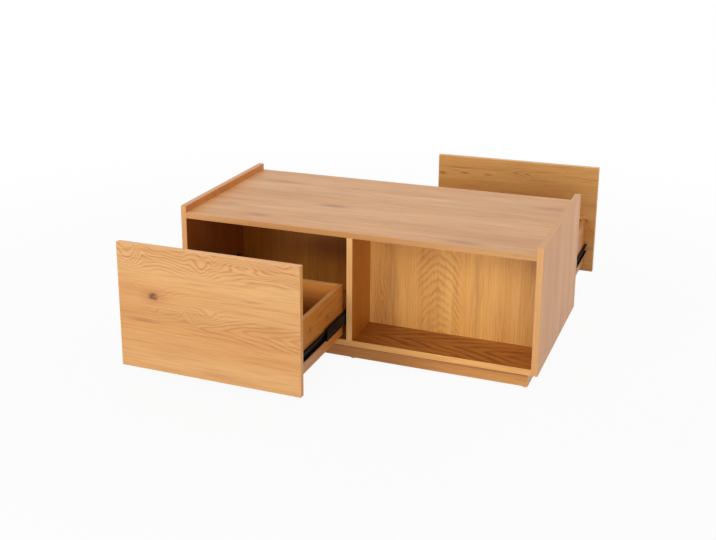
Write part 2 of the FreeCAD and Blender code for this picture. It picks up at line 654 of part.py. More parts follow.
def drawer(name, turned):
    """A drawer: a box with its bottom in a groove, and a front screwed on from inside."""
    turn = half_turn if turned else tuple
    left, right = f"{name}_left_side", f"{name}_right_side"
    inner_front, back = f"{name}_inner_front", f"{name}_back"

    groove = block(f"{name}_groove",
                   ("places.box_inner_width + 2 * sizes.groove_depth",
                    "places.box_inner_depth + 2 * sizes.groove_depth", "sizes.tray + sizes.groove_play"),
                   ("-places.box_inner_left - sizes.groove_depth",
                    "-places.open_y + sizes.box_board - sizes.groove_depth", "places.tray_low"), turned)
    for label in (left, right, inner_front, back):
        cut_from(label, groove)

    for cross, y in ((inner_front, "-places.open_y + sizes.box_board / 2"),
                     (back, "-places.box_back_y - sizes.box_board / 2")):
        for side, x, outward in ((left, "-places.box_inner_left", "-x"),
                                 (right, "-places.box_inner_right", "+x")):
            direction = REVERSED[outward] if turned else outward
            for z in ("places.box_dowel_low", "places.box_dowel_high"):
                dowel(f"{name}_box_dowels", turn((x, y, z)), direction, side, cross, "sizes.box_dowel_radius",
                      "sizes.box_dowel_side_depth", "sizes.box_dowel_end_depth")

    for x in ("-places.front_screw_left", "-places.front_screw_right"):
        for z in ("places.front_screw_low", "places.front_screw_high"):
            spot = turn((x, "-places.open_y + sizes.box_board", z))
            headed_screw(f"{name}_front_screws", spot, "+y" if turned else "-y", inner_front, f"{name}_front",
                         "sizes.front_screw_radius", "sizes.box_board", "sizes.front_screw_depth",
                         "sizes.front_screw_head_radius", "sizes.front_screw_head", sunk=False)

    board(f"{name}_front", ("places.front_width", "sizes.board", "places.front_height"),
          ("-places.half_width", "-places.open_y - sizes.board", "sizes.plinth_height"),
          turned, rounded="xyz")
    side = ("sizes.box_board", "places.box_depth", "sizes.box_height")
    board(left, side, ("-places.box_left", "-places.open_y", "places.box_low"), turned)
    board(right, side, ("-places.box_inner_right", "-places.open_y", "places.box_low"), turned)
    cross = ("places.box_inner_width", "sizes.box_board", "sizes.box_height")
    board(inner_front, cross, ("-places.box_inner_left", "-places.open_y", "places.box_low"), turned)
    board(back, cross,
          ("-places.box_inner_left", "-places.box_back_y - sizes.box_board", "places.box_low"), turned)
    board(f"{name}_bottom",
          ("places.box_inner_width + 2 * places.tray_reach", "places.box_inner_depth + 2 * places.tray_reach",
           "sizes.tray"),
          ("-places.box_inner_left - places.tray_reach",
           "-places.open_y + sizes.box_board - places.tray_reach", "places.tray_low"), turned)
    finish_group(f"{name}_box_dowels")
    finish_group(f"{name}_front_screws")


carcass_fasteners()
plinth()
for drawer_name, is_turned in (("front_drawer", False), ("rear_drawer", True)):
    slides(drawer_name, is_turned)
    drawer(drawer_name, is_turned)
finish_group("outer_slide_screws")
carcass()
doc.recompute()

for item in doc.Objects:
    if "Invalid" in item.State or "Error" in item.State:
        raise RuntimeError(f"{item.Label} did not compute: {item.State}")
for piece in SUBPARTS:
    if piece.Shape.isNull() or not piece.Shape.isValid():
        raise RuntimeError(f"{piece.Label} has no valid shape")
if CUTTERS or GROUPS:
    raise RuntimeError(f"left over: {sorted(CUTTERS)} {sorted(GROUPS)}")

os.makedirs("parts", exist_ok=True)
for piece in SUBPARTS:
    piece.Shape.exportStep(os.path.join("parts", piece.Label + ".step"))
print(f"{len(SUBPARTS)} pieces written")
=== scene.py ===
"""Looks of the coffee table: oak faced boards with their grain, knots and banded edges, black slides,
fasteners and glides, on a white floor under soft light.

Metres, +X to the right along the front, +Y from front to rear, +Z up, floor at zero.
"""
import json
import math
from collections import namedtuple

import bmesh
import bpy
from mathutils import Matrix, Vector

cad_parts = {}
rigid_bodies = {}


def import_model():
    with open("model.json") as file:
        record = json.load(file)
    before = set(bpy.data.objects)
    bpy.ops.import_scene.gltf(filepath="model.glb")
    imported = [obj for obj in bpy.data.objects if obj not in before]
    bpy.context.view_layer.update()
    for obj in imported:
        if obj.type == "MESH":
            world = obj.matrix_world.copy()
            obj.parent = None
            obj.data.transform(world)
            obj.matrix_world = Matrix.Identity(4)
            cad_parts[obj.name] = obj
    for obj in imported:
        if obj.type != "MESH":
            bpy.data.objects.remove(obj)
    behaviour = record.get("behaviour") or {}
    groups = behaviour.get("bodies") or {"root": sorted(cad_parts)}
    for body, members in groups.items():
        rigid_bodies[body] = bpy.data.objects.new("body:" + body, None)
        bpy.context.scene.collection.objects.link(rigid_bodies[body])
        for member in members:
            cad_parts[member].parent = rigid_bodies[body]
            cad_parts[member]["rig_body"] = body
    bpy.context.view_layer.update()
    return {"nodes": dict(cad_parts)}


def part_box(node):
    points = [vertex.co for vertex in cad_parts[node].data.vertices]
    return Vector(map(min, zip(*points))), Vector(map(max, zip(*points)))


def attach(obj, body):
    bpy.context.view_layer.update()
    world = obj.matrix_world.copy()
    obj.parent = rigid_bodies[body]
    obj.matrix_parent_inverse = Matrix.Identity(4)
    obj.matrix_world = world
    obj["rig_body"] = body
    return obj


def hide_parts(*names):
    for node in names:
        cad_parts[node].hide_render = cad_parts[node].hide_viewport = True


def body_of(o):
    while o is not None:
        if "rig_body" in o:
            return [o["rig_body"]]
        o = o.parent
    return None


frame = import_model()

NODES = frame["nodes"]
MM = 0.001
AXES = "xyz"
WHITE = (1, 1, 1, 1)


def srgb(red, green, blue):
    """A colour written in 0 to 255 as the linear colour that shaders take."""
    linear = []
    for part in (red, green, blue):
        share = part / 255
        linear.append(share / 12.92 if share <= 0.04045 else ((share + 0.055) / 1.055) ** 2.4)
    return (*linear, 1.0)


# Shader maths

# Places of a Mix node's two colours among its inputs, and of the mixed colour among its outputs
MIX_FROM, MIX_TO, MIX_RESULT = 6, 7, 2
NOISE_ROUGHNESS = 0.5


class Field:
    """A socket of a shader tree. Maths on it adds nodes, so that finishes are written as expressions."""

    def __init__(self, tree, socket=None):
        self.tree = tree
        self.socket = socket

    def node(self, kind, settings=None, inputs=None, output=0):
        """Adds a node: its settings first, then the values or links of its sockets."""
        made = self.tree.nodes.new(kind)
        for name, value in (settings or {}).items():
            setattr(made, name, value)
        for name, value in (inputs or {}).items():
            if isinstance(value, Field):
                self.tree.links.new(value.socket, made.inputs[name])
            else:
                made.inputs[name].default_value = value
        return Field(self.tree, made.outputs[output])

    def math(self, operation, *others):
        return self.node("ShaderNodeMath", {"operation": operation}, dict(enumerate((self, *others))))

    def __add__(self, other):
        return self.math("ADD", other)

    def __radd__(self, other):
        return self.math("ADD", other)

    def __sub__(self, other):
        return self.math("SUBTRACT", other)

    def __rsub__(self, other):
        return self.node("ShaderNodeMath", {"operation": "SUBTRACT"}, {0: other, 1: self})

    def __mul__(self, other):
        return self.math("MULTIPLY", other)

    def __rmul__(self, other):
        return self.math("MULTIPLY", other)

    def __truediv__(self, other):
        return self.math("DIVIDE", other)

    def __pow__(self, other):
        return self.math("POWER", other)

    def __abs__(self):
        return self.math("ABSOLUTE")

    def least(self, other):
        return self.math("MINIMUM", other)

    def most(self, other):
        return self.math("MAXIMUM", other)

    def rise(self, low, high):
        """A soft step from 0 at low to 1 at high."""
        return self.node("ShaderNodeMapRange", {"interpolation_type": "SMOOTHSTEP"},
                         {"Value": self, "From Min": low, "From Max": high})

    def hump(self, middle, reach):
        """1 at the middle, falling softly to 0 a reach away on both sides."""
        return 1 - abs(self - middle).rise(0.0, reach)

    def bell(self):
        """1 where this squared distance is 0, falling off as a bell."""
        return (0.0 - self).math("EXPONENT")

    def choose(self, without, with_full):
        """A value mixed by this one, from 0 to 1."""
        return without + self * (with_full - without)

    def tint(self, without, with_full):
        """A colour mixed by this value."""
        return self.node("ShaderNodeMix", {"data_type": "RGBA"},
                         {"Factor": self, MIX_FROM: without, MIX_TO: with_full}, MIX_RESULT)

    def toned(self, colour, tone):
        """A colour multiplied by a tone as far as this value goes."""
        return self.node("ShaderNodeMix", {"data_type": "RGBA", "blend_type": "MULTIPLY"},
                         {"Factor": self, MIX_FROM: colour, MIX_TO: (*tone, 1.0)}, MIX_RESULT)


def noise(u, v, w, detail):
    """Smooth noise from 0 to 1 over three coordinates that are already scaled."""
    place = u.node("ShaderNodeCombineXYZ", None, {"X": u, "Y": v, "Z": w})
    return u.node("ShaderNodeTexNoise", None,
                  {"Vector": place, "Scale": 1.0, "Detail": detail, "Roughness": NOISE_ROUGHNESS})


class Finish:
    """A material under a name, with its tree, its shader and the place on the piece."""

    def __init__(self, name):
        self.material = bpy.data.materials.new(name)
        self.material.use_nodes = True
        tree = self.material.node_tree
        self.shader = tree.nodes["Principled BSDF"]
        self.start = Field(tree)

    def split(self, output):
        """The x, y and z of one of the piece's own vectors."""
        vector = self.start.node("ShaderNodeTexCoord", None, None, output)
        return {axis: vector.node("ShaderNodeSeparateXYZ", None, {"Vector": vector}, axis.upper())
                for axis in AXES}

    def place(self):
        """The piece's own x, y and z in metres."""
        return self.split("Object")

    def facing(self):
        """How far the surface faces along each axis, without its sign."""
        return {axis: abs(share) for axis, share in self.split("Normal").items()}

    def set(self, **sockets):
        """Feeds or sets the shader's sockets; an underscore stands for a space."""
        for name, value in sockets.items():
            socket = self.shader.inputs[name.replace("_", " ")]
            if isinstance(value, Field):
                self.start.tree.links.new(value.socket, socket)
            else:
                socket.default_value = value

    def relief(self, height, strength, distance):
        """Bump from a height field."""
        self.set(Normal=height.node("ShaderNodeBump", None,
                                    {"Height": height, "Strength": strength, "Distance": distance}))

    def onto(self, label):
        for slot in NODES[label].material_slots:
            slot.material = self.material


# Oak facing: its colours

OAK_PALE = srgb(250, 205, 143)
OAK_LIGHT = srgb(242, 190, 123)
OAK_MIDDLE = srgb(231, 170, 101)
OAK_BROWN = srgb(206, 141, 73)
OAK_DARK = srgb(176, 104, 48)
OAK_RED = srgb(196, 124, 76)
OAK_SMEAR = srgb(186, 116, 64)
OAK_KNOT = srgb(112, 56, 18)
BAND = srgb(229, 167, 101)

# How far each mark takes the facing's colour towards its own
CURL_SHARE = 0.45
BROWN_SHARE = 0.5
RED_SHARE = 0.25
STREAK_SHARE = 0.24
FINE_STREAK_SHARE = 0.2
RING_SHARE = 0.8
PORE_SHARE = 0.3
SMEAR_HEART_SHARE = 0.45
BAND_SHARE = 0.55
RIM_SHARE = 0.35
# Where the paler rim along a board's corners is full, and where it has gone: partly the seam of the
# banding, partly painted highlight on the rounded corners
RIM_WIDTH = (0.2 * MM, 1.3 * MM)

OAK_ROUGHNESS = 0.42
RING_ROUGHNESS = 0.08
PORE_ROUGHNESS = 0.12
# Depth of a ring as a share of a pore's, strength of the relief, and depth of a pore
RING_RELIEF = 0.35
OAK_RELIEF = 0.25
PORE_DEPTH = 0.25 * MM

# Oak facing: its rings and noise

# Growth ring spacings of plain, curly and arched figure, and of the arches on a drawer front and the floor
PLAIN_RING = 8 * MM
CURL_RING = 11 * MM
ARCH_RING = 7.5 * MM
FRONT_ARCH_RING = 11 * MM
FLOOR_ARCH_RING = 27 * MM

# A ring's dark stroke, in shares of the spacing: its start in plain grain and in figures, where it is
# darkest, and where it starts to fade
PLAIN_STROKE_START = 0.35
FIGURE_STROKE_START = 0.3
STROKE_DARKEST = 0.68
STROKE_FADE = 0.74

# Strength of the plain rings, of those around a knot, and of those on an edge
PLAIN_DEPTH = 0.3
SWIRL_DEPTH = 0.35
EDGE_DEPTH = 0.6
# What is left of a ring, a curl and a smear where their noise is thinnest
RING_REST = 0.62
CURL_REST = 0.5
SMEAR_REST = 0.45

# Noise in the grain: features per metre along and across it, and a place of its own in the noise. Patches
# start to show at low and are full at high. A drift pushes things aside by up to half its reach.
Patches = namedtuple("Patches", "along across shift low high detail", defaults=(2.0,))
Drift = namedtuple("Drift", "along across shift reach detail", defaults=(2.0,))
LIGHT_PATCHES = Patches(1.1, 13, 11.2, 0.3, 0.7)
BROWN_PATCHES = Patches(0.7, 9, 25.3, 0.52, 0.72)
RED_PATCHES = Patches(1.7, 6, 15.5, 0.5, 0.8)
STREAKS = Patches(6, 130, 7.7, 0.45, 0.75)
FINE_STREAKS = Patches(13, 420, 31.9, 0.45, 0.75, 1.0)
PORES = Patches(46, 1500, 2.7, 0.58, 0.8, 1.0)
PORE_PATCHES = Patches(5, 60, 6.6, 0.35, 0.7)
RING_PATCHES = Patches(2.2, 22, 1.9, 0.3, 0.75)
RING_BREAKS = Patches(34, 330, 12.9, 0.3, 0.6, 1.0)
CURL_BREAKS = Patches(17, 60, 36.1, 0.25, 0.6)
ARCH_BREAKS = Patches(6, 24, 33.5, 0.2, 0.6)
SMEAR_WISPS = Patches(9, 150, 17.1, 0.25, 0.65)
RING_WANDER = Drift(1.6, 7, 3.1, 26 * MM)
RING_RIPPLE = Drift(7, 30, 5.7, 6 * MM)
UNEVEN_SPACING = Drift(1.3, 17, 9.3, 30 * MM)
CURL_BORDER = Drift(2.5, 3, 8.2, 36 * MM)
# The loops of a curl, as shares of its sweep
CURL_LOOPS = Drift(10, 6.5, 21.3, 1.0, 0.0)
CURL_SMALL_LOOPS = Drift(25, 17, 4.4, 0.3, 0.0)
ARCH_SWAY = Drift(3.0, 2.0, 23.1, 40 * MM, 1.0)
ARCH_WOBBLE = Drift(11, 24, 13.9, 20 * MM, 1.0)
ARCH_SLOW_WOBBLE = Drift(3.4, 7, 29.7, 24 * MM, 1.0)
ARCH_FINE_WOBBLE = Drift(40, 110, 27.3, 5 * MM, 1.0)
# The ragged outline of a knot, as a share of its size
KNOT_RAGS = Drift(60, 150, 19.4, 0.9)

# Oak facing: its figures

# Soft ends of a band of curls, its strength where the loops are widest, and where it starts to show and
# fully does
CURL_SOFT_END = 60 * MM
CURL_LOOSE = 0.7
CURL_SHOWN = (0.02, 0.45)
# Soft ends of a stack of arches, their rounded tips, its strength where they start to show and fully do,
# and for bowed arches the slope at the tip and the share of their wobble
ARCH_SOFT_END = 45 * MM
ARCH_TIP = 4 * MM
ARCH_SHOWN = (0.05, 0.5)
BOW_SLOPE = 0.11
BOW_WOBBLE = 0.4
# A knot pushes the rings aside: how far around and how high, in knot sizes, and drawn out how much
KNOT_PUSH_REACH = 3.4
KNOT_PUSH_HEIGHT = 3.0
KNOT_PUSH_LENGTH = 2.0
# A knot's halo, heart and pith: where each is full and where it has gone, in knot sizes, and its share
KNOT_HALO = (0.6, 2.8)
KNOT_HALO_SHARE = 0.4
KNOT_HEART = (0.45, 1.1)
KNOT_HEART_SHARE = 0.85
KNOT_PITH = (0.15, 0.6)
KNOT_PITH_SHARE = 0.6
# How much a knot and its pith are drawn out, and how far the pith lies from the middle, in knot sizes
KNOT_LENGTH = 1.7
KNOT_PITH_LENGTH = 1.5
KNOT_PITH_SHIFT = 0.5

# Faces that a figure can be on: the lower one along the axis through the board, both, or the upper one
LOWER, BOTH, UPPER = -1, 0, 1
# A place beyond the ends of every board, and a reach over all of a board
BEYOND = 9
ALL_OVER = 3.0

# Places and reaches are in the board's own metres along and across its grain
Curl = namedtuple("Curl", "middle reach sweep first last depth side", defaults=(-BEYOND, BEYOND, 1.0, BOTH))
Arch = namedtuple("Arch", "centre start slope reach first last depth side bow ring",
                  defaults=(1.0, BOTH, None, ARCH_RING))
Knot = namedtuple("Knot", "along across size side", defaults=(BOTH,))
Fold = namedtuple("Fold", "along across reach_along reach_across lift side", defaults=(BOTH,))
Smear = namedtuple("Smear", "along across reach_along reach_across depth side", defaults=(BOTH,))
# A painted shade darkens the colour around a place where shade falls on the board
PaintedShade = namedtuple("PaintedShade", "along across reach_along reach_across depth side", defaults=(BOTH,))

# How squarely a surface faces along an axis where it starts to count as an edge, and where it fully does
SQUARE_ON = (0.5, 0.8)
# Where the bay of a drawer starts along a gable, behind the niche on the other side, and its ceiling
BAY_START = -118 * MM
BAY_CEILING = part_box("top_panel")[0].z


class Grain:
    """The coordinates of a faced board: along and across the grain on every face, and into the board.

    A turned board lies half a turn about the table's middle from its twin, and has its twin's coordinates.
    """

    def __init__(self, finish, label, board, seed, turned):
        place = finish.place()
        facing = finish.facing()
        low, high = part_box(label)
        middle = dict(zip(AXES, (low + high) / 2))
        half = dict(zip(AXES, (high - low) / 2))
        inset = {axis: half[axis] - abs(place[axis] - middle[axis]) for axis in AXES}
        if turned:
            for axis in "xy":
                place[axis] = place[axis] * -1
                middle[axis] = -middle[axis]
        through = next(axis for axis in AXES if axis not in (board.along, board.across))
        u, v, w = place[board.along], place[board.across], place[through]
        self.on_end = facing[board.along].rise(*SQUARE_ON)
        self.on_edge = self.on_end.most(facing[board.across].rise(*SQUARE_ON))
        self.on_face = 1 - self.on_edge
        self.upper = (w - middle[through]).math("GREATER_THAN", 0.0)
        self.u = self.on_end.choose(u, v)
        self.v = self.on_edge.choose(v, w)
        self.w = w
        self.seed = seed
        self.rim = self.on_edge.choose(inset[board.along].least(inset[board.across]), inset[through])
        self.clouds = {}

    def cloud(self, kind):
        """Noise drawn out along the grain. The same noise is made once."""
        if kind not in self.clouds:
            self.clouds[kind] = noise(self.u * kind.along + (self.seed + kind.shift), self.v * kind.across,
                                      self.w * kind.across + kind.shift, kind.detail)
        return self.clouds[kind]

    def patches(self, kind):
        """Noise as patches, from 0 where they start to 1 where they are full."""
        return self.cloud(kind).rise(kind.low, kind.high)

    def drift(self, kind, scale=1.0):
        """Noise as a push to either side."""
        return (self.cloud(kind) - 0.5) * (kind.reach * scale)

    def strokes(self, distance, spacing, start):
        """Growth rings: a dark stroke once every spacing, a little sharper on one side."""
        share = (distance / spacing).math("FRACT")
        return share.rise(start, STROKE_DARKEST) * (1 - share.rise(STROKE_FADE, 1.0))

    def shown(self, side):
        """1 on the faces that a figure of this side shows on."""
        if side == BOTH:
            return self.on_face
        return self.on_face * (self.upper if side == UPPER else 1 - self.upper)

    def stretch(self, first, last, soft):
        """1 between two places along the grain, with soft ends."""
        return self.u.rise(first - soft, first + soft) * (1 - self.u.rise(last - soft, last + soft))

    def spot(self, figure, v):
        """1 at a figure's place, falling off over its reach along and across the grain."""
        along = (self.u - figure.along) / figure.reach_along
        across = (v - figure.across) / figure.reach_across
        return (along ** 2 + across ** 2).bell() * self.shown(figure.side)

    def inside_bay(self):
        """1 on the part of an upright board that lies beside a drawer, under the top."""
        return self.v.math("GREATER_THAN", BAY_START) * self.u.math("LESS_THAN", BAY_CEILING)

    def far(self, along, across, drawn_out):
        """Distance from a place, on rounds that are drawn out along the grain."""
        return (((self.u - along) / drawn_out) ** 2 + (self.v - across) ** 2) ** 0.5


def of_kind(figures, kind):
    return [figure for figure in figures if isinstance(figure, kind)]


def ring_course(grain, figures):
    """The place across the rings, which folds and knots push aside, and how near a knot is."""
    course = grain.v + grain.drift(RING_WANDER) + grain.drift(RING_RIPPLE)
    for fold in of_kind(figures, Fold):
        course = course - grain.spot(fold, grain.v) * fold.lift
    swirl = 0.0
    for knot in of_kind(figures, Knot):
        away = grain.far(knot.along, knot.across, KNOT_PUSH_LENGTH) / (KNOT_PUSH_REACH * knot.size)
        push = (away ** 2).bell() * grain.shown(knot.side)
        course = course + push * (KNOT_PUSH_HEIGHT * knot.size)
        swirl = swirl + push
    return course, swirl


def curly_lines(grain, course, curl, lines):
    """Adds a band of curls: rings that loop and fold back, and straighten out towards its borders."""
    there = (grain.v + grain.drift(CURL_BORDER)).hump(curl.middle, curl.reach)
    there = there * grain.stretch(curl.first, curl.last, CURL_SOFT_END) * grain.shown(curl.side)
    loops = grain.drift(CURL_LOOPS, curl.sweep) + grain.drift(CURL_SMALL_LOOPS, curl.sweep)
    figure = grain.strokes(course + loops * there.rise(0.0, CURL_LOOSE), CURL_RING, FIGURE_STROKE_START)
    figure = figure * grain.patches(CURL_BREAKS).choose(CURL_REST, 1.0)
    shown = there.rise(*CURL_SHOWN)
    return shown, shown.choose(lines, figure * curl.depth)


def arched_lines(grain, course, arch, lines):
    """Adds a stack of arches, which the rings make where the cut just touches them.

    They are pointed, or bowed where the arch has a bow: then a smaller bow makes them narrower.
    """
    sway = grain.drift(ARCH_SWAY)
    across = ((course + sway - arch.centre) ** 2 + ARCH_TIP ** 2) ** 0.5
    wobble = grain.drift(ARCH_WOBBLE) + grain.drift(ARCH_SLOW_WOBBLE)
    if arch.bow:
        across = across * BOW_SLOPE + across ** 2 / arch.bow
        wobble = wobble * BOW_WOBBLE + grain.drift(ARCH_FINE_WOBBLE)
    distance = across + (grain.u - arch.start) * arch.slope + wobble
    figure = grain.strokes(distance, arch.ring, FIGURE_STROKE_START) * grain.patches(ARCH_BREAKS)
    there = (grain.v + sway).hump(arch.centre, arch.reach).rise(*ARCH_SHOWN)
    there = there * grain.stretch(arch.first, arch.last, ARCH_SOFT_END) * grain.shown(arch.side)
    return there.choose(lines, figure * arch.depth)


def ring_lines(grain, course, swirl, board):
    """The rings of the plain grain with the curls and arches in it, and how far the curls show."""
    lines = grain.strokes(course + grain.drift(UNEVEN_SPACING), PLAIN_RING, PLAIN_STROKE_START)
    lines = lines * grain.patches(RING_PATCHES) * (PLAIN_DEPTH * board.boldness + swirl * SWIRL_DEPTH)
    lines = grain.on_edge.choose(lines, lines * EDGE_DEPTH)
    curled = 0.0
    for figure in of_kind(board.figures, (Curl, Arch)):
        if isinstance(figure, Curl):
            there, lines = curly_lines(grain, course, figure, lines)
            curled = curled + there * figure.depth
        else:
            lines = arched_lines(grain, course, figure, lines)
    return lines * grain.patches(RING_BREAKS).choose(RING_REST, 1.0), curled


def plain_colour(grain, lines, pores, curled, boldness):
    """The colour of the wood with its patches, streaks, rings and pores."""
    colour = grain.patches(LIGHT_PATCHES).tint(OAK_MIDDLE, OAK_LIGHT)
    if isinstance(curled, Field):
        colour = (curled * CURL_SHARE).tint(colour, OAK_PALE)
    marks = [
        (grain.patches(BROWN_PATCHES) * BROWN_SHARE, OAK_BROWN),
        (grain.patches(RED_PATCHES) * RED_SHARE, OAK_RED),
        (grain.patches(STREAKS) * (STREAK_SHARE * boldness), OAK_DARK),
        (grain.patches(FINE_STREAKS) * FINE_STREAK_SHARE, OAK_DARK),
        (lines * RING_SHARE, OAK_DARK),
        (pores * PORE_SHARE, OAK_DARK),
    ]
    for share, mark in marks:
        colour = share.tint(colour, mark)
    return colour


def smeared(grain, course, smear, colour):
    """The colour with a brown smear, darkest at its heart."""
    there = grain.spot(smear, course) * grain.patches(SMEAR_WISPS).choose(SMEAR_REST, 1.0)
    colour = (there * smear.depth).tint(colour, OAK_SMEAR)
    return (there * there * smear.depth * SMEAR_HEART_SHARE).tint(colour, OAK_KNOT)


def knotted(grain, knot, colour):
    """The colour with a knot: a red halo, a dark ragged heart and a red pith beside its middle."""
    shown = grain.shown(knot.side)
    ragged = grain.far(knot.along, knot.across, KNOT_LENGTH) / knot.size + grain.drift(KNOT_RAGS)
    colour = ((1 - ragged.rise(*KNOT_HALO)) * shown * KNOT_HALO_SHARE).tint(colour, OAK_RED)
    colour = ((1 - ragged.rise(*KNOT_HEART)) * shown * KNOT_HEART_SHARE).tint(colour, OAK_KNOT)
    pith_along = knot.along + KNOT_PITH_SHIFT * knot.size
    pith = grain.far(pith_along, knot.across, KNOT_PITH_LENGTH) / knot.size
    return ((1 - pith.rise(*KNOT_PITH)) * shown * KNOT_PITH_SHARE).tint(colour, OAK_RED)


def toned_colour(grain, board, colour):
    """The colour with the board's tones, which are mostly painted light and shade, and with the painted
    shades on it.
    """
    parts = {
        "face": grain.on_face,
        "upper": grain.shown(UPPER),
        "lower": grain.shown(LOWER),
        "edge": grain.on_edge - grain.on_end,
        "end": grain.on_end,
        "bay": grain.shown(LOWER) * grain.inside_bay(),
    }
    for part, tone in board.tones._asdict().items():
        if tone:
            colour = parts[part].toned(colour, tone)
    for shade in of_kind(board.figures, PaintedShade):
        colour = (grain.spot(shade, grain.v) * shade.depth).toned(colour, PAINTED_SHADE_TONE)
    return colour


def oak(label, board, seed_shift=0.0, turned=False):
    """Faces one board with oak."""
    finish = Finish("oak_" + label)
    grain = Grain(finish, label, board, board.seed + seed_shift, turned)
    course, swirl = ring_course(grain, board.figures)
    lines, curled = ring_lines(grain, course, swirl, board)
    pores = grain.patches(PORES) * grain.patches(PORE_PATCHES)
    colour = plain_colour(grain, lines, pores, curled, board.boldness)
    for smear in of_kind(board.figures, Smear):
        colour = smeared(grain, course, smear, colour)
    for knot in of_kind(board.figures, Knot):
        colour = knotted(grain, knot, colour)
    colour = (grain.on_edge * BAND_SHARE).tint(colour, BAND)
    # A paler rim on the corners: partly the seam of the banding, partly painted highlight
    colour = ((1 - grain.rim.rise(*RIM_WIDTH)) * RIM_SHARE).tint(colour, OAK_PALE)
    # Painted light and shade: the board's tones and its painted shades
    colour = toned_colour(grain, board, colour)
    finish.set(Base_Color=colour, Roughness=OAK_ROUGHNESS + lines * RING_ROUGHNESS + pores * PORE_ROUGHNESS)
    finish.relief(1 - lines * RING_RELIEF - pores, OAK_RELIEF, PORE_DEPTH)
    finish.onto(label)


# Figures of the boards, with the shade painted on them, for the front one of each pair

DRAWER_FRONT_FIGURES = [
    Fold(-0.52, 0.372, 0.034, 0.034, -0.026, LOWER),
    Fold(-0.468, 0.412, 0.016, 0.024, 0.024, LOWER),
    Fold(-0.408, 0.37, 0.05, 0.032, 0.026, LOWER),
    Fold(-0.283, 0.374, 0.034, 0.034, -0.034, LOWER),
    Fold(-0.243, 0.4, 0.012, 0.02, -0.022, LOWER),
    Fold(-0.15, 0.4, 0.07, 0.015, 0.038, LOWER),
    Fold(-0.085, 0.362, 0.1, 0.022, 0.03, LOWER),
    Fold(0.0, 0.39, 0.03, 0.02, -0.016, LOWER),
    Fold(-0.42, 0.245, 0.034, 0.013, 0.026, LOWER),
    Fold(-0.338, 0.247, 0.024, 0.02, 0.026, LOWER),
    Fold(-0.262, 0.238, 0.028, 0.02, -0.016, LOWER),
    Curl(middle=0.402, reach=0.08, sweep=0.05, depth=0.62, side=LOWER),
    Curl(middle=0.236, reach=0.042, sweep=0.03, first=-0.45, last=-0.2, depth=0.4, side=LOWER),
    Arch(centre=0.207, start=-0.27, slope=-0.16, reach=0.05, first=-0.3, last=0.06, depth=0.6, side=LOWER,
         ring=FRONT_ARCH_RING),
    Knot(-0.438, 0.275, 0.0115, LOWER),
    Smear(-0.465, 0.198, 0.075, 0.006, 0.6, LOWER),
    Smear(-0.135, 0.302, 0.04, 0.003, 0.3, LOWER),
    Smear(-0.012, 0.358, 0.012, 0.005, 0.9, UPPER),
    Smear(-0.092, 0.366, 0.016, 0.003, 0.9, UPPER),
    Smear(-0.175, 0.366, 0.016, 0.003, 0.8, UPPER),
    Smear(-0.07, 0.385, 0.09, 0.003, 0.6, UPPER),
    Arch(centre=0.383, start=-0.22, slope=0.13, reach=0.03, first=-0.38, last=-0.24, depth=0.8, side=UPPER),
    Arch(centre=0.4, start=-0.38, slope=0.13, reach=0.04, first=-0.6, last=-0.42, depth=0.8, side=UPPER),
    Fold(-0.505, 0.222, 0.03, 0.025, 0.03, UPPER),
    Curl(middle=0.23, reach=0.06, sweep=0.03, first=-0.56, last=-0.46, depth=0.45, side=UPPER),
    Smear(-0.52, 0.215, 0.01, 0.008, 0.9, UPPER),
]
NICHE_BACK_FIGURES = [
    Fold(0.11, 0.214, 0.03, 0.014, 0.014, LOWER),
    Arch(centre=0.225, start=0.33, slope=0.28, reach=0.095, first=0.0, last=0.34, depth=0.65, side=LOWER,
         bow=0.36),
    Arch(centre=0.04, start=0.27, slope=0.12, reach=0.032, first=0.0, last=0.25, depth=0.6, side=LOWER),
    Arch(centre=0.407, start=0.2, slope=0.12, reach=0.03, first=0.0, last=0.15, depth=0.5, side=LOWER),
    # A painted shadow of the divider across the niche back's left end, drawn as a smear
    Smear(0.2, 0.078, 0.6, 0.022, 0.5, LOWER),
    Smear(0.2, 0.34, 0.6, 0.014, 0.3, LOWER),
    # Painted shade: at the right end beside the gable, under the top panel, in the top right corner, and a
    # patch on the face towards the drawer bay
    PaintedShade(0.23, 0.54, ALL_OVER, 0.13, 0.55, LOWER),
    PaintedShade(0.39, 0.27, 0.028, ALL_OVER, 0.35, LOWER),
    PaintedShade(0.39, 0.54, 0.07, 0.09, 0.5, LOWER),
    PaintedShade(0.23, 0.54, ALL_OVER, 0.045, 0.45, LOWER),
    PaintedShade(0.215, 0.22, 0.045, 0.14, 0.85, UPPER),
]
TOP_FIGURES = [
    Arch(centre=0.04, start=0.3, slope=-0.1, reach=0.06, first=0.2, last=0.4, depth=0.45, side=UPPER),
    Smear(-0.448, -0.136, 0.03, 0.014, 0.5, UPPER),
    Smear(-0.32, -0.218, 0.04, 0.016, 0.5, UPPER),
    Smear(-0.14, -0.05, 0.05, 0.016, 0.9, UPPER),
    Smear(-0.397, 0.159, 0.1, 0.014, 0.55, UPPER),
    Smear(0.317, -0.252, 0.07, 0.018, 0.55, UPPER),
    Smear(0.488, 0.162, 0.06, 0.016, 0.45, UPPER),
]
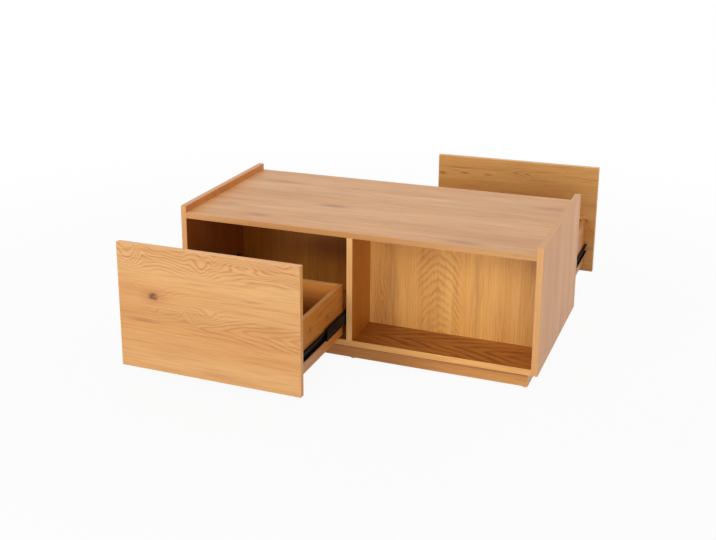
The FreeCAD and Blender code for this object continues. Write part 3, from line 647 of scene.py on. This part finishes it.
FLOOR_FIGURES = [
    Arch(centre=-0.21, start=0.1, slope=-0.32, reach=0.11, first=0.06, last=0.5, depth=1.3, side=UPPER,
         ring=FLOOR_ARCH_RING),
    Arch(centre=0.21, start=-0.1, slope=0.32, reach=0.11, first=-0.5, last=-0.06, depth=1.3, side=UPPER,
         ring=FLOOR_ARCH_RING),
    Smear(0.175, -0.245, 0.05, 0.011, 0.8, UPPER),
    Smear(0.2, -0.205, 0.045, 0.01, 0.8, UPPER),
    Smear(-0.23, 0.235, 0.05, 0.011, 0.8, UPPER),
    Smear(-0.36, 0.19, 0.06, 0.01, 0.8, UPPER),
    # Painted shade on the niche floors, darker near the divider
    PaintedShade(0.0, 0.0, 0.13, ALL_OVER, 0.35, UPPER),
]
RAIL_FIGURES = [
    # Painted shadow of the bottom panel's overhang along the top of the plinth rails
    PaintedShade(0.0, 0.0415, ALL_OVER, 0.005, 1.0),
]
BOX_BACK_FIGURES = [
    # Painted shadow of the drawer front on the lower part of the back's inner face
    PaintedShade(0.0, 0.15, ALL_OVER, 0.06, 1.0, LOWER),
    PaintedShade(0.0, 0.14, ALL_OVER, 0.05, 1.0, LOWER),
]
GABLE_FIGURES = [
    # Painted shade, darker towards the bottom of a gable's outer face
    PaintedShade(0.0, 0.0, 0.22, ALL_OVER, 0.25, UPPER),
]
BOX_SIDE_FIGURES = [
    Smear(-0.401, 0.182, 0.012, 0.007, 0.9),
    Smear(-0.526, 0.194, 0.014, 0.007, 0.8),
    Smear(-0.45, 0.21, 0.03, 0.006, 0.5),
]

# Tones multiply the oak's red, green and blue: on both faces, on the upper or lower one, on the long edges,
# on the ends, and on the part of a gable's lower face that lies inside a drawer bay. Most are painted light
# and shade, lit and shaded copies of the one oak: darker and redder on faces in shade, lighter on faces and
# edges that catch light, and pinker and greyer where sheen shows.
Tones = namedtuple("Tones", "face upper lower edge end bay", defaults=5 * (None,))
# The colour that painted shade darkens the oak towards
PAINTED_SHADE_TONE = (0.45, 0.34, 0.22)
# Painted light on the long edges of drawer fronts and gables
LIT_EDGE = (1.05, 1.05, 1.1)
# Painted shade on a drawer front's inner face, and painted light on its ends
DRAWER_FRONT_TONES = Tones((0.95, 0.91, 0.9), upper=(0.99, 0.96, 0.76), edge=LIT_EDGE,
                           end=(1.12, 1.06, 0.95))
# Painted sheen makes a gable pinker; painted shade darkens its inner face, its top and bottom, and the part
# inside the bay
GABLE_TONES = Tones((1.1, 0.92, 0.76), lower=(0.73, 0.62, 0.47), edge=LIT_EDGE, end=(0.86, 0.82, 0.88),
                    bay=(0.84, 0.84, 0.8))
# Painted light on a niche back, and painted shade on its face towards the drawer bay
NICHE_BACK_TONES = Tones((1.27, 1.36, 1.08), upper=(0.62, 0.42, 0.16))
# Painted shade on the plinth rails, against the light bounced up from the floor
RAIL_TONES = Tones((0.95, 0.84, 0.64))
# Painted shade on the drawer sides and their edges
BOX_SIDE_TONES = Tones((0.89, 0.64, 0.28), edge=(0.8, 0.7, 0.55))
# Painted light on a drawer's back
BOX_BACK_TONES = Tones((1.2, 1.12, 0.75))
# A darker board inside a drawer, darkened further with painted shade
BOX_INSIDE_TONES = Tones((0.7, 0.5, 0.25))
# Painted sheen turns the top pinker and greyer
TOP_TONES = Tones((0.89, 0.86, 0.97), edge=(0.93, 0.92, 0.95))
# Painted shade on the niche floor's faces, and painted light on its edges
FLOOR_TONES = Tones((0.62, 0.44, 0.12), edge=(1.26, 1.3, 1.16))
# Painted shade on the divider's faces, and painted light on its edges
DIVIDER_TONES = Tones((0.73, 0.52, 0.12), edge=(1.28, 1.4, 1.5))

# How much stronger than usual the plain grain is
BOX_SIDE_BOLDNESS = 1.6
TOP_BOLDNESS = 1.5
FLOOR_BOLDNESS = 2.8

# The axes along and across a board's grain, its place in the noise, its tones, figures and boldness
Board = namedtuple("Board", "along across seed tones figures boldness", defaults=((), 1.0))
# Boards that come in pairs; the rear one is the front one turned by half, in another place of the noise
PAIRED_BOARDS = {
    "{drawer}_front": Board("x", "z", 2.3, DRAWER_FRONT_TONES, DRAWER_FRONT_FIGURES),
    "{gable}_gable": Board("z", "y", 13.8, GABLE_TONES, GABLE_FIGURES),
    "{end}_niche_back": Board("z", "x", 18.5, NICHE_BACK_TONES, NICHE_BACK_FIGURES),
    "plinth_{end}_rail": Board("x", "z", 23.3, RAIL_TONES, RAIL_FIGURES),
    "plinth_{gable}_rail": Board("y", "z", 26.7, RAIL_TONES, RAIL_FIGURES),
    "{drawer}_left_side": Board("y", "z", 31.0, BOX_SIDE_TONES, BOX_SIDE_FIGURES, BOX_SIDE_BOLDNESS),
    "{drawer}_right_side": Board("y", "z", 32.0, BOX_SIDE_TONES, BOX_SIDE_FIGURES, BOX_SIDE_BOLDNESS),
    "{drawer}_inner_front": Board("x", "z", 33.3, BOX_INSIDE_TONES),
    "{drawer}_back": Board("x", "z", 35.6, BOX_BACK_TONES, BOX_BACK_FIGURES),
    "{drawer}_bottom": Board("x", "y", 37.9, BOX_INSIDE_TONES),
}
SINGLE_BOARDS = {
    "plinth_middle_rail": Board("y", "z", 9.1, RAIL_TONES),
    "top_panel": Board("x", "y", 7.7, TOP_TONES, TOP_FIGURES, TOP_BOLDNESS),
    "bottom_panel": Board("x", "y", 9.2, FLOOR_TONES, FLOOR_FIGURES, FLOOR_BOLDNESS),
    "centre_divider": Board("z", "y", 16.1, DIVIDER_TONES),
}
DRAWERS = ("front_drawer", "rear_drawer")
FRONT_NAMES = {"drawer": DRAWERS[0], "end": "front", "gable": "right"}
REAR_NAMES = {"drawer": DRAWERS[1], "end": "rear", "gable": "left"}
REAR_SEED_SHIFT = 40.0


def dress_boards():
    for name, board in PAIRED_BOARDS.items():
        oak(name.format(**FRONT_NAMES), board)
        oak(name.format(**REAR_NAMES), board, REAR_SEED_SHIFT, turned=True)
    for label, board in SINGLE_BOARDS.items():
        oak(label, board)


# Metal, plastic and raw wood

SPECKLE_DETAIL = 3.0
# A finish with speckles between two colours: how many per metre, sideways and upwards, the least roughness
# and its spread, the strength and depth of the relief, and the values that are the same all over
Speckle = namedtuple("Speckle", "first second sideways upwards rough spread strength depth same",
                     defaults=(0.0, 0.0, {}))
# Each small finish, and how the names of the nodes that have it end
SMALL_FINISHES = {
    "black_slide_steel": (
        Speckle(srgb(4, 4, 5), srgb(10, 10, 11), sideways=260, upwards=260, rough=0.4, spread=0.16,
                strength=0.15, depth=0.05 * MM, same={"Specular_IOR_Level": 0.1}),
        ("_slide_outer", "_slide_middle", "_slide_inner")),
    "glide_plastic": (
        Speckle(srgb(226, 222, 214), srgb(206, 201, 192), sideways=500, upwards=500, rough=0.5, spread=0.2,
                strength=0.2, depth=0.05 * MM),
        ("_glides",)),
    "zinc_plated_steel": (
        Speckle(srgb(196, 198, 202), srgb(160, 163, 170), sideways=400, upwards=400, rough=0.28,
                spread=0.14, same={"Metallic": 1.0}),
        ("cam_locks", "cam_bolts", "_screws", "_ball_cages")),
    "bearing_steel": (
        Speckle(srgb(214, 214, 216), srgb(190, 190, 194), sideways=400, upwards=400, rough=0.1,
                spread=0.14, same={"Metallic": 1.0}),
        ("_balls",)),
    "beech_dowel": (
        Speckle(srgb(226, 192, 152), srgb(205, 166, 122), sideways=300, upwards=60, rough=0.7, spread=0.1,
                strength=0.2, depth=0.2 * MM),
        ("_dowels",)),
    "plinth_block_wood": (
        Speckle(srgb(226, 196, 148), srgb(200, 160, 108), sideways=300, upwards=20, rough=0.7, spread=0.1,
                strength=0.2, depth=0.2 * MM),
        ("_blocks",)),
}


def speckled(name, speckle):
    finish = Finish(name)
    place = finish.place()
    share = noise(place["x"] * speckle.sideways, place["y"] * speckle.sideways,
                  place["z"] * speckle.upwards, SPECKLE_DETAIL)
    finish.set(Base_Color=share.tint(speckle.first, speckle.second),
               Roughness=speckle.rough + share * speckle.spread, **speckle.same)
    if speckle.strength:
        finish.relief(share, speckle.strength, speckle.depth)
    return finish


def dress_small_parts():
    for name, (speckle, endings) in SMALL_FINISHES.items():
        finish = speckled(name, speckle)
        for label in NODES:
            if label.endswith(endings):
                finish.onto(label)


# Crosses in the heads of screws and cam locks

# Points closer than this are one corner of a solid, and corners this close to its end lie on its end face
SEAM = 0.001 * MM
FLAT = 0.05 * MM
SMOOTH_ANGLE = math.radians(30)
# An arm's length at the bottom of a cross, as a share of its length at the top
CROSS_TAPER = 0.45
# Ends of a fastener that can be its head, by the way from there into the fastener
LOW_END, HIGH_END = 1, -1
# The place of the fastener's own axis among the axes, the cross's reach from the middle, the width of its
# arms, its depth, and the ends that can be the head
Cross = namedtuple("Cross", "axis reach width depth ends", defaults=((LOW_END, HIGH_END),))
CAM_CROSS = Cross(AXES.index("z"), 4.2 * MM, 1.5 * MM, 2.4 * MM, (LOW_END,))
PLINTH_CROSS = Cross(AXES.index("z"), 2.2 * MM, 0.9 * MM, 1.4 * MM)
FRONT_CROSS = Cross(AXES.index("y"), 2.2 * MM, 0.9 * MM, 1.5 * MM)
SLIDE_CROSS = Cross(AXES.index("x"), 1.6 * MM, 0.7 * MM, 1.0 * MM)


def joined_shape(label):
    """A node's mesh with the seams between its faces closed."""
    shape = bmesh.new()
    shape.from_mesh(NODES[label].data)
    bmesh.ops.remove_doubles(shape, verts=shape.verts, dist=SEAM)
    bmesh.ops.dissolve_degenerate(shape, edges=shape.edges, dist=SEAM)
    shape.verts.index_update()
    return shape


def solids_of(shape):
    """The corners of each separate solid in a shape."""
    seen = set()
    solids = []
    for first in shape.verts:
        if first in seen:
            continue
        seen.add(first)
        waiting = [first]
        solid = []
        while waiting:
            corner = waiting.pop()
            solid.append(corner.co.copy())
            for edge in corner.link_edges:
                other = edge.other_vert(corner)
                if other not in seen:
                    seen.add(other)
                    waiting.append(other)
        solids.append(solid)
    return solids


def head_of(solid, cross):
    """The middle of a fastener's head and the way into it. The head is the wider of the ends it can be."""
    widest = None
    for way in cross.ends:
        end = min(way * corner[cross.axis] for corner in solid)
        rim = [corner for corner in solid if way * corner[cross.axis] - end < FLAT]
        middle = sum(rim, Vector()) / len(rim)
        width = max((corner - middle).length for corner in rim)
        if widest is None or width > widest[0] + FLAT:
            widest = (width, middle, way)
    return widest[1:]


def cross_arms(name, solids, cross, lengthwise):
    """One arm of each fastener's cross, shorter at its bottom, as an object to cut with."""
    shape = bmesh.new()
    for solid in solids:
        middle, way = head_of(solid, cross)
        size = Vector((cross.width, cross.width, cross.width))
        size[cross.axis] = 2 * cross.depth
        size[lengthwise] = 2 * cross.reach
        arm = bmesh.ops.create_cube(shape, size=1.0)["verts"]
        for corner in arm:
            if way * corner.co[cross.axis] > 0:
                corner.co[lengthwise] *= CROSS_TAPER
            corner.co = middle + Vector(part * extent for part, extent in zip(corner.co, size))
    mesh = bpy.data.meshes.new(name)
    shape.to_mesh(mesh)
    shape.free()
    cutter = bpy.data.objects.new(name, mesh)
    bpy.context.scene.collection.objects.link(cutter)
    return cutter


def cut_crosses(label, cross):
    """The node's own fasteners with a cross in each head, in place of the node."""
    shape = joined_shape(label)
    solids = solids_of(shape)
    mesh = bpy.data.meshes.new(label + "_plain")
    mesh.from_pydata([corner.co.copy() for corner in shape.verts], [],
                     [[corner.index for corner in face.verts] for face in shape.faces])
    shape.free()
    piece = bpy.data.objects.new(label + "_crossed", mesh)
    bpy.context.scene.collection.objects.link(piece)
    cutters = []
    for lengthwise in range(len(AXES)):
        if lengthwise != cross.axis:
            cutter = cross_arms(f"{label}_arm_{lengthwise}", solids, cross, lengthwise)
            cut = piece.modifiers.new(cutter.name, "BOOLEAN")
            cut.operation = "DIFFERENCE"
            cut.solver = "EXACT"
            cut.object = cutter
            cutters.append(cutter)
    bpy.context.view_layer.update()
    depsgraph = bpy.context.evaluated_depsgraph_get()
    crossed = bpy.data.meshes.new_from_object(piece.evaluated_get(depsgraph))
    piece.modifiers.clear()
    piece.data = crossed
    for cutter in cutters:
        bpy.data.objects.remove(cutter)
    crossed.shade_smooth()
    crossed.set_sharp_from_angle(angle=SMOOTH_ANGLE)
    crossed.materials.clear()
    crossed.materials.append(NODES[label].material_slots[0].material)
    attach(piece, body_of(NODES[label])[0])
    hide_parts(label)


def cross_fasteners():
    cut_crosses("cam_locks", CAM_CROSS)
    cut_crosses("plinth_screws", PLINTH_CROSS)
    cut_crosses("outer_slide_screws", SLIDE_CROSS)
    for drawer in DRAWERS:
        cut_crosses(f"{drawer}_front_screws", FRONT_CROSS)
        cut_crosses(f"{drawer}_slide_screws", SLIDE_CROSS)


# Stage, light and camera

FLOOR_REACH = 60.0
FLOOR_COLOUR = srgb(218, 218, 218)
FLOOR_ROUGHNESS = 0.9
# Share of plain white in the floor that the camera sees near the table, and where it turns all white
FLOOR_WHITE_SHARE = 0.94
FLOOR_FADE = (0.9, 3.0)
SKY_STRENGTH = 0.22

# Where the softboxes point, and the ones on the front side and above
TABLE_MIDDLE = Vector((0.0, 0.0, 0.25))
Lamp = namedtuple("Lamp", "place size watts")
FRONT_LAMPS = {
    "front_softbox": Lamp(Vector((0.4, -4.6, 1.7)), (5.0, 2.4), 38.0),
    "left_softbox": Lamp(Vector((-2.2, -4.2, 1.0)), (1.4, 1.4), 29.0),
    "right_softbox": Lamp(Vector((1.5, -4.4, 1.0)), (1.6, 1.6), 15.0),
    "high_softbox": Lamp(Vector((-1.6, -3.8, 2.9)), (1.2, 1.2), 48.0),
    "side_softbox": Lamp(Vector((-4.6, -1.2, 1.2)), (2.0, 2.0), 12.0),
}
OVERHEAD_LAMP = Lamp(Vector((0.0, 0.0, 3.6)), (2.6, 2.6), 31.0)
# Power of the same softboxes on the rear side, as a share of the front ones
REAR_SHARE = 0.8

CAMERA_PLACE = Vector((1.0612, -3.1017, 1.3735))
CAMERA_YAW, CAMERA_PITCH, CAMERA_ROLL = 25.346, -16.141, -1.098
IMAGE_WIDTH, IMAGE_HEIGHT = 716, 540
FOCAL_PIXELS = 1103.7
AXIS_PIXEL = (262.0, 200.0)
SENSOR_WIDTH = 36.0
# A camera that isn't turned looks down, so this much tilt makes it look level
LEVEL_TILT = 90


def seen_directly(field):
    """1 for camera, mirror and see-through rays, 0 for the rays that light things."""
    camera_ray, mirror_ray, through_ray = [
        field.node("ShaderNodeLightPath", None, None, name)
        for name in ("Is Camera Ray", "Is Glossy Ray", "Is Transmission Ray")]
    return camera_ray.most(mirror_ray).most(through_ray)


def white_floor():
    bpy.ops.mesh.primitive_plane_add(size=2 * FLOOR_REACH)
    floor = bpy.context.object
    floor.name = "floor"
    finish = Finish("white_floor")
    finish.set(Base_Color=FLOOR_COLOUR, Roughness=FLOOR_ROUGHNESS)
    white = finish.start.node("ShaderNodeEmission", None, {"Color": WHITE, "Strength": 1.0})
    place = finish.place()
    away = ((place["x"] ** 2 + place["y"] ** 2) ** 0.5).rise(*FLOOR_FADE)
    share = seen_directly(finish.start) * away.choose(FLOOR_WHITE_SHARE, 1.0)
    tree = finish.material.node_tree
    both = finish.start.node("ShaderNodeMixShader", None, {0: share})
    tree.links.new(finish.shader.outputs[0], both.socket.node.inputs[1])
    tree.links.new(white.socket, both.socket.node.inputs[2])
    tree.links.new(both.socket, tree.nodes["Material Output"].inputs["Surface"])
    floor.data.materials.append(finish.material)


def white_sky():
    world = bpy.data.worlds.new("white_sky")
    world.use_nodes = True
    bpy.context.scene.world = world
    background = world.node_tree.nodes["Background"]
    background.inputs["Color"].default_value = WHITE
    direct = seen_directly(Field(world.node_tree))
    strength = direct.choose(SKY_STRENGTH, 1.0)
    world.node_tree.links.new(strength.socket, background.inputs["Strength"])


def softbox(name, lamp, sheen=True):
    light = bpy.data.lights.new(name, "AREA")
    light.shape = "RECTANGLE"
    light.size, light.size_y = lamp.size
    light.energy = lamp.watts
    holder = bpy.data.objects.new(name, light)
    holder.location = lamp.place
    holder.rotation_euler = (TABLE_MIDDLE - lamp.place).to_track_quat("-Z", "Y").to_euler()
    holder.visible_glossy = sheen
    bpy.context.scene.collection.objects.link(holder)


def softboxes():
    """The same light on both long sides, because both have a drawer and a niche, and one lamp above."""
    half_turn = Matrix.Rotation(math.pi, 3, "Z")
    for name, lamp in FRONT_LAMPS.items():
        softbox(name, lamp)
        rear_lamp = Lamp(half_turn @ lamp.place, lamp.size, REAR_SHARE * lamp.watts)
        softbox("rear_" + name, rear_lamp, sheen=False)
    softbox("overhead_softbox", OVERHEAD_LAMP)


def camera():
    lens = bpy.data.cameras.new("camera")
    lens.sensor_width = SENSOR_WIDTH
    lens.sensor_fit = "HORIZONTAL"
    lens.lens = FOCAL_PIXELS / IMAGE_WIDTH * SENSOR_WIDTH
    lens.shift_x = (IMAGE_WIDTH / 2 - AXIS_PIXEL[0]) / IMAGE_WIDTH
    lens.shift_y = (AXIS_PIXEL[1] - IMAGE_HEIGHT / 2) / IMAGE_WIDTH
    lens.clip_end = 2 * FLOOR_REACH
    holder = bpy.data.objects.new("camera", lens)
    yaw = Matrix.Rotation(math.radians(CAMERA_YAW), 4, "Z")
    pitch = Matrix.Rotation(math.radians(LEVEL_TILT + CAMERA_PITCH), 4, "X")
    roll = Matrix.Rotation(math.radians(CAMERA_ROLL), 4, "Z")
    holder.matrix_world = Matrix.Translation(CAMERA_PLACE) @ yaw @ pitch @ roll
    bpy.context.scene.collection.objects.link(holder)
    bpy.context.scene.camera = holder


dress_boards()
dress_small_parts()
cross_fasteners()
white_floor()
white_sky()
softboxes()
camera()
bpy.context.scene.view_settings.view_transform = "Standard"
